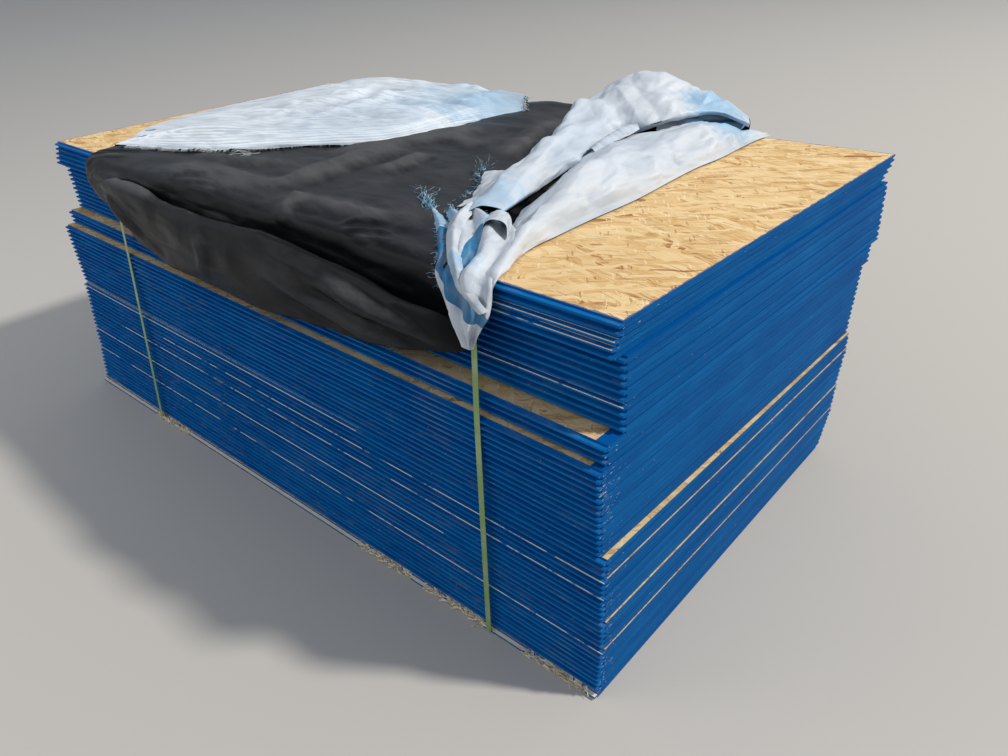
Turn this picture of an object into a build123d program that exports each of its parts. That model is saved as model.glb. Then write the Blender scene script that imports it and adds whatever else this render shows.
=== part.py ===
from build123d import *
from math import cos, hypot, radians, sin, tan
import os

os.makedirs("parts", exist_ok=True)

# A strapped unit of tongue-and-groove strand board panels, with its torn woven cover.
# X runs along the panels, Y across them, Z up. The tongues face -Y and the grooves +Y.
# The origin is on the ground, in the middle of the whole unit.

# Panels: 8 ft long, 5/8 in thick, 47 1/2 in of face between the joints
panel_length = 2438.0
face_width = 1206.0
panel_thickness = 15.9
panel_gap = 0.3

# Tongue and groove, both centred in the thickness
tongue_length = 11.5
tongue_root = 7.4
tongue_nose = 5.2
nose_radius = 1.6
groove_depth = 13.0
groove_mouth = 8.4
groove_floor = 6.4

# Where the unit's own origin stands, so that the middle of the whole lies over the origin
unit_x = 7.4
unit_y = 11.3

# Straps: round the short way. Each runs up the tongue side to the tongue that stands out furthest,
# on to the top, across it, down the groove side and back under. Its distance in from the nearer
# end of the panels is given at each of those corners: foot, knee, shoulder, far shoulder, far foot.
strap_width = 16.0
strap_thickness = 0.9
strap_clearance = 0.3
strap_rebate = 1.3
strap_slack = 0.1
rebate_overrun = 60.0
rear_strap_insets = (466.0, 528.0, 457.0, 471.0, 468.0)
front_strap_insets = (335.0, 308.0, 334.0, 369.0, 351.0)

# Crushed places along the tongue of the bottom panel: start, length and depth
crush_depth = 24.0
crushed_stretches = [(-785, 235), (390, 225), (668, 215), (1003, 190)]

# Woven cover: a lining laid over the top that hangs down the tongue side, a flap folded back over
# its far corner, and an end that is bunched up and trails over the edge. They are plain solids as
# large as the loose cloth. Places along the unit are measured in from the panels' ends.
cloth_clearance = 0.3
lining_thickness = 4.0
lining_left_inset = 339.0
lining_right_inset = 357.0
lining_back_overrun = 15.0
drape_right_inset = 385.0
drape_shoulder = 29.0
drape_bulge = 36.0
bulge_rise = 80.0
drape_turn = 90.0
hem_thickness = 16.0
hem_drop = 254.0
trail_thickness = 34.0
trail_lap = 12.0
flap_height = 66.0
bunch_height = 168.0
cloth_edge = 8.0

pitch = panel_thickness + panel_gap


def course(name, count, foot, head):
    """A run of panels that slid together: foot and head are (x, y, turn) of its end panels."""
    return {"name": name, "count": count, "foot": foot, "head": head}


# From the ground up: millimetres along X and Y, and degrees about Z
courses = [
    course("panel_bottom", 1, (-27, -42, 1.15), (-27, -42, 1.15)),
    course("panels_course_1", 9, (-24, -30, 1.05), (-8, -25.5, 0.75)),
    course("panels_course_2", 5, (-9, -22.5, 0.72), (-6, -22, 0.62)),
    course("panels_course_3", 5, (-8, -19.5, 0.58), (-3, -19, 0.4)),
    course("panels_course_4", 3, (-3, -16.8, 0.38), (1.5, -17.5, 0.3)),
    course("panels_course_5", 3, (0, -15.2, 0.32), (0, -15.2, 0.3)),
    course("panels_course_6", 14, (-10, -9, 0.03), (4.5, -21, -0.2)),
    course("panels_course_7", 3, (5.5, 6.5, -0.5), (8, 2.5, -0.5)),
    course("panels_course_8", 10, (8, 49, -0.25), (8, 48, -0.25)),
    course("panels_course_9", 5, (0, 22.5, -0.4), (19, 28.5, -0.55)),
]

# How far a panel may lie off its course's line
slip = 0.7


def panel_places(row, first):
    """The (x, y, z, turn) of each panel in a course, whose lowest is panel number first."""
    places = []
    for index in range(row["count"]):
        share = index / max(row["count"] - 1, 1)
        x, y, turn = [low + share * (high - low) for low, high in zip(row["foot"], row["head"])]
        number = first + index
        x += slip * sin(2.4 * number)
        y += slip * sin(3.7 * number + 1.0)
        places.append((x, y, number * pitch, turn))
    return places


placed = {}
number = 0
for row in courses:
    placed[row["name"]] = panel_places(row, number)
    number += row["count"]
every_place = [place for places in placed.values() for place in places]
stack_height = number * pitch - panel_gap
knee_height = placed["panels_course_6"][-1][2] + panel_thickness / 2


# One panel, its underside on z = 0
half_face = face_width / 2
half_thick = panel_thickness / 2
with BuildPart() as panel:
    with BuildSketch(Plane.YZ.offset(-panel_length / 2)) as section:
        with BuildLine():
            Polyline(
                (-half_face, 0),
                (half_face, 0),
                (half_face, half_thick - groove_mouth / 2),
                (half_face - groove_depth, half_thick - groove_floor / 2),
                (half_face - groove_depth, half_thick + groove_floor / 2),
                (half_face, half_thick + groove_mouth / 2),
                (half_face, panel_thickness),
                (-half_face, panel_thickness),
                (-half_face, half_thick + tongue_root / 2),
                (-half_face - tongue_length, half_thick + tongue_nose / 2),
                (-half_face - tongue_length, half_thick - tongue_nose / 2),
                (-half_face, half_thick - tongue_root / 2),
                close=True,
            )
        make_face()
        fillet(section.vertices().group_by(Axis.X)[0], radius=nose_radius)
    extrude(amount=panel_length)


def crushed_outline(start, length, depth):
    """Seen from above, a ragged bite out of the tongue side."""
    edge = -half_face - tongue_length - 1
    steps = [(0, 0), (0.12, 0.55), (0.3, 0.42), (0.45, 0.9), (0.62, 1), (0.78, 0.5), (0.9, 0.62), (1, 0)]
    return [(start + length * along, edge + depth * inward) for along, inward in steps]


def across(x):
    """A plane across the unit at a place along it, seen as Y and the height."""
    return Plane(origin=(unit_x + x, unit_y, 0), x_dir=(0, 1, 0), z_dir=(1, 0, 0))


def blend(share, low, high):
    """From low at 0 to high at 1, and no further."""
    return low + (high - low) * min(max(share, 0.0), 1.0)


def strap_place(run, y, z):
    """How far along the unit a strap is where it passes a place on the outline of the stack."""
    foot, knee, shoulder, far_shoulder, far_foot = run
    if z < knee_height:
        near = blend(z / knee_height, foot, knee)
    else:
        near = blend((z - knee_height) / (stack_height - knee_height), knee, shoulder)
    far = blend(z / stack_height, far_foot, far_shoulder)
    return blend(y / face_width + 0.5, near, far)


def strap_corners(run):
    """What a strap can bear on, as (y, z)."""
    corners = []
    for number, (x, y, z, turn) in enumerate(every_place):
        low, high = z + half_thick - tongue_nose / 2, z + half_thick + tongue_nose / 2
        foot_z = strap_rebate if number == 0 else z
        local = [(-half_face - tongue_length, low), (-half_face - tongue_length, high)]
        for side in (-half_face, half_face):
            local += [(side, foot_z), (side, z + panel_thickness)]
        for side, level in local:
            at = strap_place(run, y + side, level) - x
            corners.append((y + at * tan(radians(turn)) + side / cos(radians(turn)), level))
    return corners


def hull(points):
    """The convex outline round some points, counter-clockwise, without its slightest corners."""
    def rise(a, b, c):
        area = (b[0] - a[0]) * (c[1] - a[1]) - (b[1] - a[1]) * (c[0] - a[0])
        return area / hypot(c[0] - a[0], c[1] - a[1])

    def chain(run):
        kept = []
        for point in run:
            while len(kept) > 1 and rise(kept[-2], kept[-1], point) <= 0:
                kept.pop()
            kept.append(point)
        return kept[:-1]

    run = sorted(set(points))
    corners = chain(run) + chain(run[::-1])
    rises = [0.0]
    while min(rises) < strap_slack:
        turns = zip(corners[-1:] + corners, corners, corners[1:] + corners[:1])
        rises = [rise(a, b, c) for a, b, c in turns]
        if min(rises) < strap_slack:
            corners.pop(rises.index(min(rises)))
    return corners


def widened(outline, amount):
    """A convex outline moved outward by an amount, its corners kept sharp."""
    moved = []
    for before, corner, after in zip(outline[-1:] + outline, outline, outline[1:] + outline[:1]):
        sides = []
        for start, end in ((before, corner), (corner, after)):
            length = hypot(end[0] - start[0], end[1] - start[1])
            sides.append(((end[1] - start[1]) / length, (start[0] - end[0]) / length))
        (first_y, first_z), (second_y, second_z) = sides
        reach = amount / (1 + first_y * second_y + first_z * second_z)
        moved.append((corner[0] + reach * (first_y + second_y), corner[1] + reach * (first_z + second_z)))
    return moved


def triangles(ring, following):
    """The side of a solid between two outlines with as many corners each."""
    sides = []
    corners = zip(ring, ring[1:] + ring[:1], following, following[1:] + following[:1])
    for start, end, start_after, end_after in corners:
        sides += [(start, end, end_after), (start, end_after, start_after)]
    return sides


def faceted(sides):
    """A closed solid from its sides, each a flat run of corners in the unit's own coordinates."""
    faces = []
    for side in sides:
        corners = [(unit_x + x, unit_y + y, z) for x, y, z in side]
        faces.append(Face(Wire.make_polygon(corners, close=True)))
    return Solid(Shell(faces))


straps = [
    ("strap_rear", [inset - panel_length / 2 for inset in rear_strap_insets]),
    ("strap_front", [panel_length / 2 - inset for inset in front_strap_insets]),
]


# Straps: one band each, drawn tight over every panel that stands out
for name, run in straps:
    outline = hull(strap_corners(run))
    inner = widened(outline, strap_clearance)
    outer = widened(outline, strap_clearance + strap_thickness)
    rings = []
    for bearing, inside, outside in zip(outline, inner, outer):
        x = strap_place(run, *bearing)
        left, right = x - strap_width / 2, x + strap_width / 2
        rings.append([(left, *inside), (left, *outside), (right, *outside), (right, *inside)])
    with BuildPart() as strap:
        band = []
        for ring, following in zip(rings, rings[1:] + rings[:1]):
            band += triangles(ring, following)
        add(faceted(band))
    strap.part.label = name
    export_step(strap.part, f"parts/{name}.step")


# Panels: a solid each, a node for each course that slid together
for row in courses:
    with BuildPart() as pile:
        for x, y, z, turn in placed[row["name"]]:
            with Locations(Location((unit_x + x, unit_y + y, z), (0, 0, turn))):
                add(panel.part)
        if row["name"] == "panel_bottom":
            x, y, z, turn = placed[row["name"]][0]
            with BuildSketch(Plane(Location((unit_x + x, unit_y + y, z), (0, 0, turn)))):
                for start, length in crushed_stretches:
                    with BuildLine():
                        Polyline(*crushed_outline(start, length, crush_depth), close=True)
                    make_face()
            extrude(amount=panel_thickness, mode=Mode.SUBTRACT)
            # The weight has pressed the straps up into the underside
            for name, run in straps:
                half_rebate = strap_width / 2 + strap_clearance
                reach = half_face + rebate_overrun
                near_x, far_x = [unit_x + strap_place(run, side, 0) for side in (-half_face, half_face)]
                slant = (far_x - near_x) / face_width * rebate_overrun
                with BuildSketch():
                    with BuildLine():
                        Polyline(
                            (near_x - slant - half_rebate, unit_y - reach),
                            (near_x - slant + half_rebate, unit_y - reach),
                            (far_x + slant + half_rebate, unit_y + reach),
                            (far_x + slant - half_rebate, unit_y + reach),
                            close=True,
                        )
                    make_face()
                extrude(amount=strap_rebate, mode=Mode.SUBTRACT)
    pile.part.label = row["name"]
    export_step(pile.part, f"parts/{row['name']}.step")


def front_at(name, index, x):
    """How far toward -Y one panel's tongue comes at a place along the unit."""
    at_x, at_y, z, turn = placed[name][index]
    return at_y + (x - at_x) * tan(radians(turn)) - (half_face + tongue_length) / cos(radians(turn))


def hanging_line(left, right):
    """How the cloth hangs from the top tongue to the furthest one below: (y, z) of both."""
    ends = []
    for name in ("panels_course_9", "panels_course_6"):
        tip = min(front_at(name, -1, x) for x in (left, right))
        ends.append((tip - over_strap, placed[name][-1][2] + half_thick + tongue_nose / 2))
    return ends


def on_line(line, z):
    """Where the cloth hangs at a height."""
    (top_y, top_z), (low_y, low_z) = line
    return top_y + (low_y - top_y) * (top_z - z) / (top_z - low_z)


over_strap = 2 * strap_clearance + strap_thickness + cloth_clearance
lining_foot = stack_height + over_strap
lining_top = lining_foot + lining_thickness
cloth_foot = lining_top + cloth_clearance
left_end = -panel_length / 2
right_end = panel_length / 2

# Lining: (share of its length, drop below the top) along its lower edge
lining_left = left_end + lining_left_inset
lining_right = right_end - lining_right_inset
lining_back = half_face + lining_back_overrun
lining_length = lining_right - lining_left
drops = [(0.11, 114), (0.17, 191), (0.28, 217), (0.36, 239)]
drops += [(0.55, 249), (0.68, 225), (0.86, 204), (1.005, 149)]
hem = [(lining_left + share * lining_length, stack_height - drop) for share, drop in drops]
hem_height = stack_height - hem_drop
lining_line = hanging_line(lining_left, lining_right)
turn_y = on_line(lining_line, lining_foot)
foot_y = on_line(lining_line, hem_height)
bulge_z = hem_height + bulge_rise
shoulder_z = stack_height - panel_thickness
with BuildPart() as lining:
    with BuildSketch(across(lining_left)):
        with BuildLine():
            Polyline(
                (foot_y, hem_height),
                (turn_y, lining_foot),
                (turn_y + drape_turn, lining_foot),
                (turn_y + drape_turn, lining_top),
                (turn_y, lining_top),
                (turn_y - drape_shoulder, shoulder_z),
                (on_line(lining_line, bulge_z) - drape_bulge, bulge_z),
                (foot_y - hem_thickness, hem_height),
                close=True,
            )
        make_face()
    extrude(amount=lining_length + drape_turn)
    with BuildSketch(Plane(origin=(unit_x, unit_y, 0), x_dir=(1, 0, 0), z_dir=(0, -1, 0))):
        with BuildLine():
            Spline(*hem)
            Polyline(
                hem[-1],
                (right_end - drape_right_inset, lining_top + 1),
                (lining_left - 1, lining_top + 1),
                (lining_left + drape_turn, lining_top - panel_thickness),
                hem[0],
            )
        make_face()
    extrude(amount=face_width, mode=Mode.INTERSECT)
    with BuildSketch(Plane.XY.offset(lining_foot)):
        middle_y = (turn_y + drape_turn / 2 + lining_back) / 2
        with Locations((unit_x + (lining_left + lining_right) / 2, unit_y + middle_y)):
            Rectangle(lining_length, lining_back - turn_y - drape_turn / 2)
    extrude(amount=lining_thickness)
lining.part.label = "cover_lining"
export_step(lining.part, "parts/cover_lining.step")


def fold(rings):
    """A solid through a row of outlines, closed by the first and the last."""
    sides = [rings[0], rings[-1]]
    for ring, following in zip(rings, rings[1:]):
        sides += triangles(ring, following)
    return faceted(sides)


def fold_outline(start, length, rises):
    """A flat foot, a low edge, and the heights above it, each at a share of its length: (place, z)."""
    heights = [(0, cloth_edge)] + rises
    low = [(start, cloth_foot), (start + length, cloth_foot)]
    return low + [(start + share * length, cloth_foot + up) for share, up in heights[::-1]]


# Flap: (distance in from the left end, reach over the top, overrun of the far edge, rises), each
# rise (share of the reach, share of the flap's height)
flap_sections = [
    (31, 660, -3, ((0.47, 0.33), (1, 0.15))),
    (179, 910, 7, ((0.55, 0.39), (1, 0.18))),
    (389, 1082, 9, ((0.67, 0.52), (1, 0.38))),
    (769, 942, 9, ((0.81, 0.79), (1, 1.0))),
    (1139, 545, 2, ((0.72, 0.91), (1, 0.68))),
    (1259, 115, -18, ((0.52, 0.36), (1, 0.21))),
]
flap_rings = []
for inset, reach, overrun, rises in flap_sections:
    heights = [(share, up * flap_height) for share, up in rises]
    outline = fold_outline(half_face + overrun - reach, reach, heights)
    flap_rings.append([(left_end + inset, y, z) for y, z in outline])
with BuildPart() as flap:
    add(fold(flap_rings))
flap.part.label = "cover_flap"
export_step(flap.part, "parts/cover_flap.step")

# Bunched end: (place across the unit as a share of half its face, distance in from the right end,
# width, rises), a ridge that climbs toward the back
bunch_sections = [
    (-0.955, 273, 156, ((0.19, 0.2), (0.67, 0.18), (1, 0.04))),
    (-0.70, 322, 207, ((0.24, 0.37), (0.72, 0.31), (1, 0.04))),
    (-0.365, 330, 289, ((0.19, 0.51), (0.69, 0.43), (1, 0.04))),
    (0.083, 334, 365, ((0.19, 0.67), (0.68, 0.5), (1, 0.04))),
    (0.4975, 339, 410, ((0.1, 0.83), (0.66, 0.55), (1, 0.04))),
    (0.746, 341, 408, ((0.2, 1.0), (0.66, 0.6), (1, 0.04))),
    (0.962, 334, 285, ((0.35, 0.63), (0.7, 0.42), (1, 0.04))),
    (1.061, 333, 86, ((0.35, 0.12), (0.7, 0.09), (1, 0.03))),
]
bunch_rings = []
for place, inset, width, rises in bunch_sections:
    heights = [(share, up * bunch_height) for share, up in rises]
    outline = fold_outline(right_end - inset - width, width, heights)
    bunch_rings.append([(x, place * half_face, z) for x, z in outline])
with BuildPart() as bunch:
    add(fold(bunch_rings))
bunch.part.label = "cover_bunched_end"
export_step(bunch.part, "parts/cover_bunched_end.step")

# Trailing end: (drop below the top, distance in from the right end, width), narrowing to a tip in
# front of the panels and over the front strap
trail_sections = [(-trail_lap, 253, 130), (39, 257, 96), (89, 277, 57), (144, 294, 20)]
trail_line = hanging_line(lining_right, right_end - trail_sections[-1][1])
trail_rings = []
for drop, inset, width in trail_sections:
    z = stack_height - drop
    inner = on_line(trail_line, z)
    left = right_end - inset - width
    trail_rings.append(
        [
            (left, inner, z),
            (left + width * 0.25, inner - trail_thickness, z),
            (left + width * 0.7, inner - trail_thickness * 0.8, z),
            (left + width, inner, z),
        ]
    )
with BuildPart() as trail:
    add(fold(trail_rings))
trail.part.label = "cover_trailing_end"
export_step(trail.part, "parts/cover_trailing_end.step")
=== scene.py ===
from math import cos, pi, radians, sin

import bpy
import numpy as np
from mathutils import Matrix, Vector


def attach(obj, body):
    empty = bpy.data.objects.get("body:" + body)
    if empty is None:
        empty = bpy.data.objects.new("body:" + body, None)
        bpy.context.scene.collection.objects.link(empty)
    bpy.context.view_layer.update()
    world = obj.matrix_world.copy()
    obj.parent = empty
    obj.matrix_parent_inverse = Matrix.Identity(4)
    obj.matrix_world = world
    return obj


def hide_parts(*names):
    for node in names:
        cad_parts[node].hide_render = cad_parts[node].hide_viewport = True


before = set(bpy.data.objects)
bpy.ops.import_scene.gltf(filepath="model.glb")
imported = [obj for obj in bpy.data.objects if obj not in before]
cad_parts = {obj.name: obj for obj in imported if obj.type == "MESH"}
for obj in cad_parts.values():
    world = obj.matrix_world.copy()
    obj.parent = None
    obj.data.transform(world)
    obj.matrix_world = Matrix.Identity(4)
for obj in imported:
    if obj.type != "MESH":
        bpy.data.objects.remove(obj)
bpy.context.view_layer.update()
print("frame loaded")

# points on the cloth are in millimetres from the unit's own origin, and one that gives no height lies
# at topHeight; the other lengths here are in metres
unit = {"shift": (7.4, 11.3, 0.0), "topHeight": 948, "pitch": 0.0162, "thickness": 0.0159, "height": 0.9393}

view = {
    "place": (1.91145, -1.55683, 1.52694),
    "yaw": 44.3128517,
    "pitch": 30.16900498,
    "roll": -3.90832106,
    "lens": 28.14,
}

light = {
    "sky": (0.80, 0.88, 1.0),
    "skyStrength": 0.5,
    "sunPlace": (15.6, 7.8, 16.2),
    "sunSize": 2.0,
    "sunPower": 5200.0,
    "sunColor": (1.0, 0.955, 0.88),
    "fillPlace": (-3.5, -5.0, 3.0),
    "fillSize": 4.0,
    "fillPower": 60.0,
    "fillColor": (1.0, 1.0, 1.0),
    "aim": (0.0, 0.0, 0.5),
    "floorSize": 90.0,
    "floorColor": (0.50, 0.475, 0.44, 1.0),
}


# helpers: grids of points and the noise that creases them
def clamp(values, low=0.0):
    return np.clip(values, low, 1.0)


def splineWeights(count, samples, bias=1.0):
    # Catmull-Rom: each sample is a blend of the four nearest control points; a bias above 1 draws
    # the samples toward the first one
    at = np.linspace(0.0, 1.0, samples) ** bias * (count - 1.0)
    cell = np.clip(np.floor(at).astype(int), 0, count - 2)
    t = at - cell
    blends = np.stack(
        [
            -0.5 * t + t**2 - 0.5 * t**3,
            1.0 - 2.5 * t**2 + 1.5 * t**3,
            0.5 * t + 2.0 * t**2 - 1.5 * t**3,
            -0.5 * t**2 + 0.5 * t**3,
        ]
    )
    weights = np.zeros((samples, count))
    for step in range(4):
        column = np.clip(cell + step - 1, 0, count - 1)
        np.add.at(weights, (np.arange(samples), column), blends[step])
    return weights


def netSurface(rows, along, across, bias=1.0):
    # a smooth grid through a net of control points, in metres
    net = np.array(rows, float) + np.array(unit["shift"])
    first = splineWeights(net.shape[0], along)
    second = splineWeights(net.shape[1], across, bias)
    return np.einsum("ai,ijk,bj->abk", first, net, second) / 1000.0


def gridShares(grid):
    # how far along each direction of the grid, from 0 to 1
    rows, columns = grid.shape[:2]
    return np.linspace(0.0, 1.0, rows)[:, None], np.linspace(0.0, 1.0, columns)[None, :]


def gridNormals(grid):
    # the cross product of the two directions of the grid
    normal = np.cross(*np.gradient(grid, axis=(0, 1)))
    return normal / np.maximum(np.linalg.norm(normal, axis=-1, keepdims=True), 1e-12)


def latticeNoise(points, seed):
    # random values on a whole-number lattice, joined by smooth steps; from -1 to 1
    cell = np.floor(points).astype(np.int64)
    t = points - cell
    t = t * t * (3.0 - 2.0 * t)
    total = np.zeros(points.shape[:-1])
    for corner in range(8):
        bit = np.array([corner & 1, corner >> 1 & 1, corner >> 2 & 1])
        key = (cell + bit) @ np.array([73856093, 19349663, 83492791]) + seed * 2654435
        key = (key ^ (key >> 13)) * 1274126177 & 0x7FFFFFFF
        key = (key ^ (key >> 11)) * 668265263 & 0x7FFFFFFF
        value = (key % 65536) / 32768.0 - 1.0
        total += value * np.prod(np.where(bit, t, 1.0 - t), axis=-1)
    return total


def creases(points, size, height, seed):
    # folds with rounded valleys and sharp ridges: one minus the size of the noise
    return (1.0 - np.abs(latticeNoise(points / size, seed)) * 2.0) * height


def crumple(points, size, height, seed):
    # crisp facets: the highest of three slanted triangle waves and the lowest of three others, halved;
    # the points wander a little first; from -height to height
    rng = np.random.default_rng(seed)
    drift = np.stack([latticeNoise(points / (1.6 * size), seed + 7 * k) for k in range(3)], axis=-1)
    moved = points + drift * 0.4 * size
    waves = []
    for _ in range(6):
        direction = rng.normal(size=3)
        t = moved @ (direction / np.linalg.norm(direction)) / (size * rng.uniform(0.7, 1.3)) + rng.uniform()
        waves.append(1.0 - 4.0 * np.abs(t - np.floor(t) - 0.5))
    return (np.maximum.reduce(waves[:3]) + np.minimum.reduce(waves[3:])) / 2.0 * height


def placed(points):
    # points given in millimetres, in metres in the frame
    points = [(*point, unit["topHeight"])[:3] for point in points]
    return (np.array(points, float) + unit["shift"]) / 1000.0


def nearPath(points, path):
    # distance from each point to a broken line, and how far along the line that is, from 0 to 1
    path = placed(path)
    lengths = np.linalg.norm(np.diff(path, axis=0), axis=1)
    marks = np.concatenate([[0.0], np.cumsum(lengths)]) / lengths.sum()
    best = np.full(points.shape[:-1], np.inf)
    place = np.zeros(points.shape[:-1])
    for start, end, low, high in zip(path[:-1], path[1:], marks[:-1], marks[1:]):
        span = end - start
        t = clamp(((points - start) @ span) / (span @ span))
        gap = np.linalg.norm(points - start - t[..., None] * span, axis=-1)
        nearer = gap < best
        best = np.where(nearer, gap, best)
        place = np.where(nearer, low + t * (high - low), place)
    return best, place


def foldLines(points, lines):
    # each line lifts the cloth like a tent: its full height on the line, nothing past its reach
    total = np.zeros(points.shape[:-1])
    for height, reach, path in lines:
        gap, place = nearPath(points, path)
        ends = clamp(np.minimum(place, 1.0 - place) * 4.0 + 0.15)
        total += height * ends * clamp(1.0 - gap / reach)
    return total


def printedShapes(points, shapes):
    # distance outside the nearest printed stripe, negative inside it
    total = np.full(points.shape[:-1], 1.0)
    for halfWidth, path in shapes:
        total = np.minimum(total, nearPath(points, path)[0] - halfWidth)
    return total


def addMesh(name, vertices, faceSets, material, uvs=None):
    mesh = bpy.data.meshes.new(name)
    vertices = np.ascontiguousarray(vertices, np.float32).reshape(-1, 3)
    faceSets = [np.ascontiguousarray(faces, np.int32) for faces in faceSets]
    corners = np.concatenate([faces.ravel() for faces in faceSets])
    sizes = np.concatenate([np.full(len(faces), faces.shape[1], np.int32) for faces in faceSets])
    mesh.vertices.add(len(vertices))
    mesh.vertices.foreach_set("co", vertices.ravel())
    mesh.loops.add(len(corners))
    mesh.loops.foreach_set("vertex_index", corners)
    mesh.polygons.add(len(sizes))
    mesh.polygons.foreach_set("loop_start", np.concatenate([[0], np.cumsum(sizes)[:-1]]).astype(np.int32))
    mesh.polygons.foreach_set("loop_total", sizes)
    mesh.polygons.foreach_set("use_smooth", np.ones(len(sizes), bool))
    if uvs is not None:
        layer = mesh.uv_layers.new(name="cloth")
        layer.data.foreach_set("uv", np.asarray(uvs, np.float32)[corners].ravel())
    mesh.update(calc_edges=True)
    mesh.validate()
    made = bpy.data.objects.new(name, mesh)
    bpy.context.scene.collection.objects.link(made)
    made.data.materials.append(material)
    return made


def gridFaces(rows, columns, flip=False):
    index = np.arange(rows * columns).reshape(rows, columns)
    corners = [index[:-1, :-1], index[1:, :-1], index[1:, 1:], index[:-1, 1:]]
    quads = np.stack(corners, axis=-1).reshape(-1, 4)
    return quads[:, ::-1] if flip else quads


def gridUvs(grid):
    # lengths along the two directions of the grid, in metres
    first = np.linalg.norm(np.diff(grid, axis=0), axis=-1).mean(axis=1)
    second = np.linalg.norm(np.diff(grid, axis=1), axis=-1).mean(axis=0)
    u = np.concatenate([[0.0], np.cumsum(first)])
    v = np.concatenate([[0.0], np.cumsum(second)])
    return np.stack(np.meshgrid(u, v, indexing="ij"), axis=-1).reshape(-1, 2)


def sheetArea(grid):
    # half the cross product of each cell's diagonals
    one = grid[1:, 1:] - grid[:-1, :-1]
    two = grid[1:, :-1] - grid[:-1, 1:]
    return float(np.linalg.norm(np.cross(one, two), axis=-1).sum() / 2.0)


def addSheet(name, grid, amount, material, tone, printed=None):
    # moves the grid along its upward normals by amount, and gives it its thickness and a black inner side;
    # tone is 1 on ridges and -1 in valleys, where the materials paint shade, and on the black cloth a
    # highlight on ridges; printed is the distance to the nearest stripe
    normal = gridNormals(grid)
    sign = np.sign(normal[..., 2].mean())
    grid = grid + normal * amount[..., None] * sign
    made = addMesh(name, grid, [gridFaces(*grid.shape[:2], sign < 0)], material, gridUvs(grid))
    printed = np.ones(grid.shape[:2]) if printed is None else printed
    for label, values in (("printed", printed), ("tone", tone)):
        layer = made.data.attributes.new(label, "FLOAT", "POINT")
        layer.data.foreach_set("value", values.astype(np.float32).ravel())
    solid = made.modifiers.new("thickness", "SOLIDIFY")
    solid.thickness = cloth["thickness"]
    solid.offset = -1.0
    if material != blackCloth:
        made.data.materials.append(blackCloth)
        solid.material_offset = 1
    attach(made, "root")
    "cover_black" if material == blackCloth else "cover_white"
    return made, sheetArea(grid), grid


def addThreads(name, roots, aims, lengths, ends, look, seed, material):
    # thin three-sided tubes: root + aim * length * t, plus a bend and a wave to the side; the height
    # goes from the root's to its end's as t * t
    rng = np.random.default_rng(seed)
    count, steps = len(roots), 10
    t = np.linspace(0.0, 1.0, steps)[None, :]
    side = np.cross(aims, (0.0, 0.0, 1.0))
    side /= np.linalg.norm(side, axis=1, keepdims=True)
    bend = rng.normal(0.0, look["bend"], (count, 1)) * t**2
    wave = rng.normal(0.0, look["wave"], (count, 1))
    wave = wave * np.sin(2.0 * pi * (t * rng.uniform(0.6, 1.8, (count, 1))))
    sway = (bend + wave) * lengths[:, None]
    line = roots[:, None, :] + aims[:, None, :] * (lengths[:, None] * t)[..., None]
    line = line + side[:, None, :] * sway[..., None]
    line[..., 2] = roots[:, None, 2] + (ends - roots[:, 2])[:, None] * t**2
    line[..., 2] += look["arch"] * np.sin(pi * t) * rng.uniform(0.0, 1.0, (count, 1)) * lengths[:, None]
    turns = np.arange(3) * 2.0 * pi / 3.0
    radius = look["radius"] * (1.0 - 0.6 * t)
    ring = side[:, None, None, :] * np.cos(turns)[None, None, :, None]
    ring = ring + np.array([0.0, 0.0, 1.0]) * np.sin(turns)[None, None, :, None]
    vertices = line[:, :, None, :] + ring * radius[..., None, None]
    index = np.arange(count * steps * 3).reshape(count, steps, 3)
    after = np.roll(index, -1, axis=2)
    walls = np.stack([index[:, :-1], after[:, :-1], after[:, 1:], index[:, 1:]], axis=-1).reshape(-1, 4)
    caps = np.concatenate([index[:, 0, ::-1], index[:, -1]])
    made = addMesh(name, vertices, [walls, caps], material)
    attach(made, "root")
    return made


# helpers: shader nodes, added to the material that newMaterial began last
current = {}


class Wire:
    # what comes out of a node; arithmetic with it adds a Math node
    def __init__(self, socket):
        self.socket = socket

    def __add__(self, other):
        return calc("ADD", self, other)

    def __sub__(self, other):
        return calc("SUBTRACT", self, other)

    def __rsub__(self, other):
        return calc("SUBTRACT", other, self)

    def __mul__(self, other):
        return calc("MULTIPLY", self, other)

    def __truediv__(self, other):
        return calc("DIVIDE", self, other)

    def __gt__(self, other):
        return calc("GREATER_THAN", self, other)

    def __lt__(self, other):
        return calc("LESS_THAN", self, other)

    __radd__ = __add__


def newMaterial(name):
    material = bpy.data.materials.new(name)
    material.use_nodes = True
    tree = current["tree"] = material.node_tree
    tree.nodes.clear()
    shader = tree.nodes.new("ShaderNodeBsdfPrincipled")
    out = tree.nodes.new("ShaderNodeOutputMaterial")
    tree.links.new(shader.outputs[0], out.inputs[0])
    return material, shader


def feed(node, **inputs):
    # sockets go by name, with _ for a space, or by number as i0, i1
    for key, value in inputs.items():
        numbered = key[0] == "i" and key[1:].isdigit()
        socket = node.inputs[int(key[1:]) if numbered else key.replace("_", " ")]
        if isinstance(value, Wire):
            current["tree"].links.new(value.socket, socket)
        else:
            socket.default_value = value


def put(kind, settings=None, out=0, **inputs):
    # a new node, fed, and its output by number
    node = current["tree"].nodes.new("ShaderNode" + kind)
    for key, value in (settings or {}).items():
        setattr(node, key, value)
    feed(node, **inputs)
    return Wire(node.outputs[out])


def split(value, kind="SeparateXYZ"):
    return [Wire(socket) for socket in put(kind, i0=value).socket.node.outputs]


def calc(operation, one, two=0.0, three=0.0):
    return put("Math", {"operation": operation}, i0=one, i1=two, i2=three)


def vectorCalc(operation, one, two, out=0):
    return put("VectorMath", {"operation": operation}, out, i0=one, i1=two)


def larger(one, two):
    return calc("MAXIMUM", one, two)


def within(value, middle, reach):
    return calc("COMPARE", value, middle, reach)


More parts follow.
